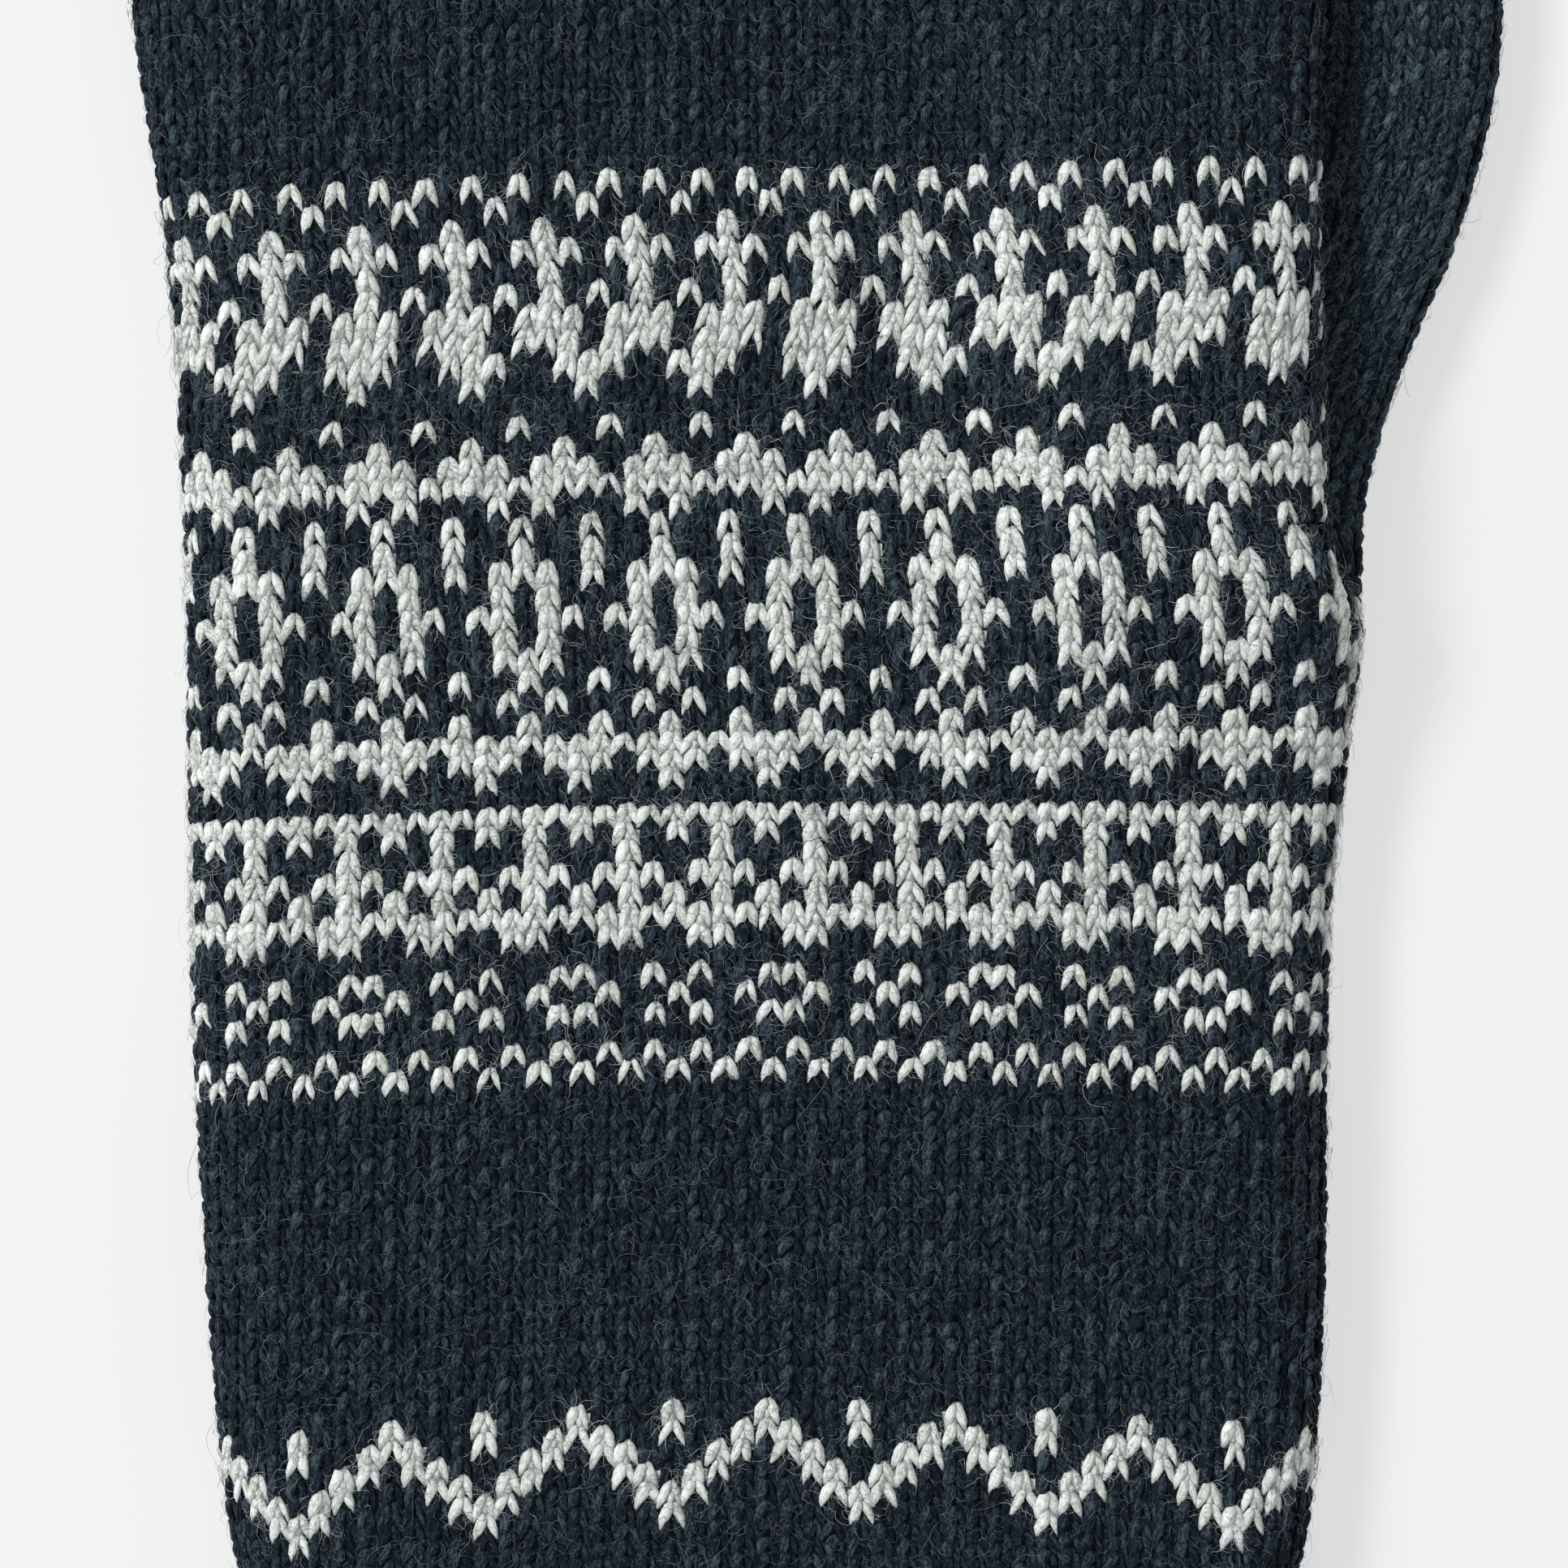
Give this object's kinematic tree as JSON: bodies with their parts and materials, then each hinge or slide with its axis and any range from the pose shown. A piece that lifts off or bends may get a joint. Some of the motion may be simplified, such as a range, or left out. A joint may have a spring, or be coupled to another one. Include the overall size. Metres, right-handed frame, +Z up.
{
  "type": "knitted glove",
  "caption": "Left-hand wool glove, knitted as tubes from the fingertips to a ribbed cuff, navy with pale colour-work bands, lying flat on its palm.",
  "frame": {"origin": "centre of the glove's bounding box on the surface that it lies on", "axes": "+Z up through the back of the hand, +Y from the cuff to the fingertips, +X to the thumb side"},
  "size_m": [0.1116, 0.266, 0.0146],
  "materials": {
    "glove_wool": "knitted wool, stocking stitch with two-colour bands, fuzzy",
    "rib_wool": "knitted wool, ribbed, fuzzy"
  },
  "bodies": {
    "hand": {"hand_tube": "glove_wool", "palm_tube": "glove_wool", "knuckle_tube": "glove_wool", "wrist_tube": "glove_wool"},
    "cuff": {"cuff_rib": "rib_wool", "cuff_rim": "rib_wool"},
    "thumb_base": {"thumb_base": "glove_wool"},
    "thumb_tip": {"thumb_tip": "glove_wool"},
    "little_base": {"little_base": "glove_wool"},
    "little_tip": {"little_tip": "glove_wool"},
    "ring_base": {"ring_base": "glove_wool"},
    "ring_tip": {"ring_tip": "glove_wool"},
    "middle_base": {"middle_base": "glove_wool"},
    "middle_tip": {"middle_tip": "glove_wool"},
    "index_base": {"index_base": "glove_wool"},
    "index_tip": {"index_tip": "glove_wool"}
  },
  "joints": [
    {"name": "wrist_bend", "type": "hinge", "parent": "hand", "child": "cuff", "pos_m": [-0.00126, -0.085, 0.0047], "axis": [1, 0, 0], "range_deg": [-50, 50]},
    {"name": "thumb_swing", "type": "hinge", "parent": "hand", "child": "thumb_base", "pos_m": [0.04474, 0.003, 0.00345], "axis": [0, 0, -1], "range_deg": [0, 40]},
    {"name": "thumb_bend", "type": "hinge", "parent": "thumb_base", "child": "thumb_tip", "pos_m": [0.04574, 0.03156, 0], "axis": [-1, 0, 0], "range_deg": [0, 70]},
    {"name": "little_knuckle", "type": "hinge", "parent": "hand", "child": "little_base", "pos_m": [-0.04233, 0.052, 0], "axis": [-1, 0, 0], "range_deg": [0, 85]},
    {"name": "little_middle_bend", "type": "hinge", "parent": "little_base", "child": "little_tip", "pos_m": [-0.04463, 0.07822, 0], "axis": [-1, 0, 0], "range_deg": [0, 95]},
    {"name": "ring_knuckle", "type": "hinge", "parent": "hand", "child": "ring_base", "pos_m": [-0.01925, 0.057, 0], "axis": [-1, 0, 0], "range_deg": [0, 85]},
    {"name": "ring_middle_bend", "type": "hinge", "parent": "ring_base", "child": "ring_tip", "pos_m": [-0.02009, 0.0892, 0], "axis": [-1, 0, 0], "range_deg": [0, 95]},
    {"name": "middle_knuckle", "type": "hinge", "parent": "hand", "child": "middle_base", "pos_m": [0.00556, 0.057, 0], "axis": [-1, 0, 0], "range_deg": [0, 85]},
    {"name": "middle_middle_bend", "type": "hinge", "parent": "middle_base", "child": "middle_tip", "pos_m": [0.00618, 0.09196, 0], "axis": [-1, 0, 0], "range_deg": [0, 95]},
    {"name": "index_knuckle", "type": "hinge", "parent": "hand", "child": "index_base", "pos_m": [0.03038, 0.057, 0], "axis": [-1, 0, 0], "range_deg": [0, 85]},
    {"name": "index_middle_bend", "type": "hinge", "parent": "index_base", "child": "index_tip", "pos_m": [0.03202, 0.08828, 0], "axis": [-1, 0, 0], "range_deg": [0, 95]}
  ]
}
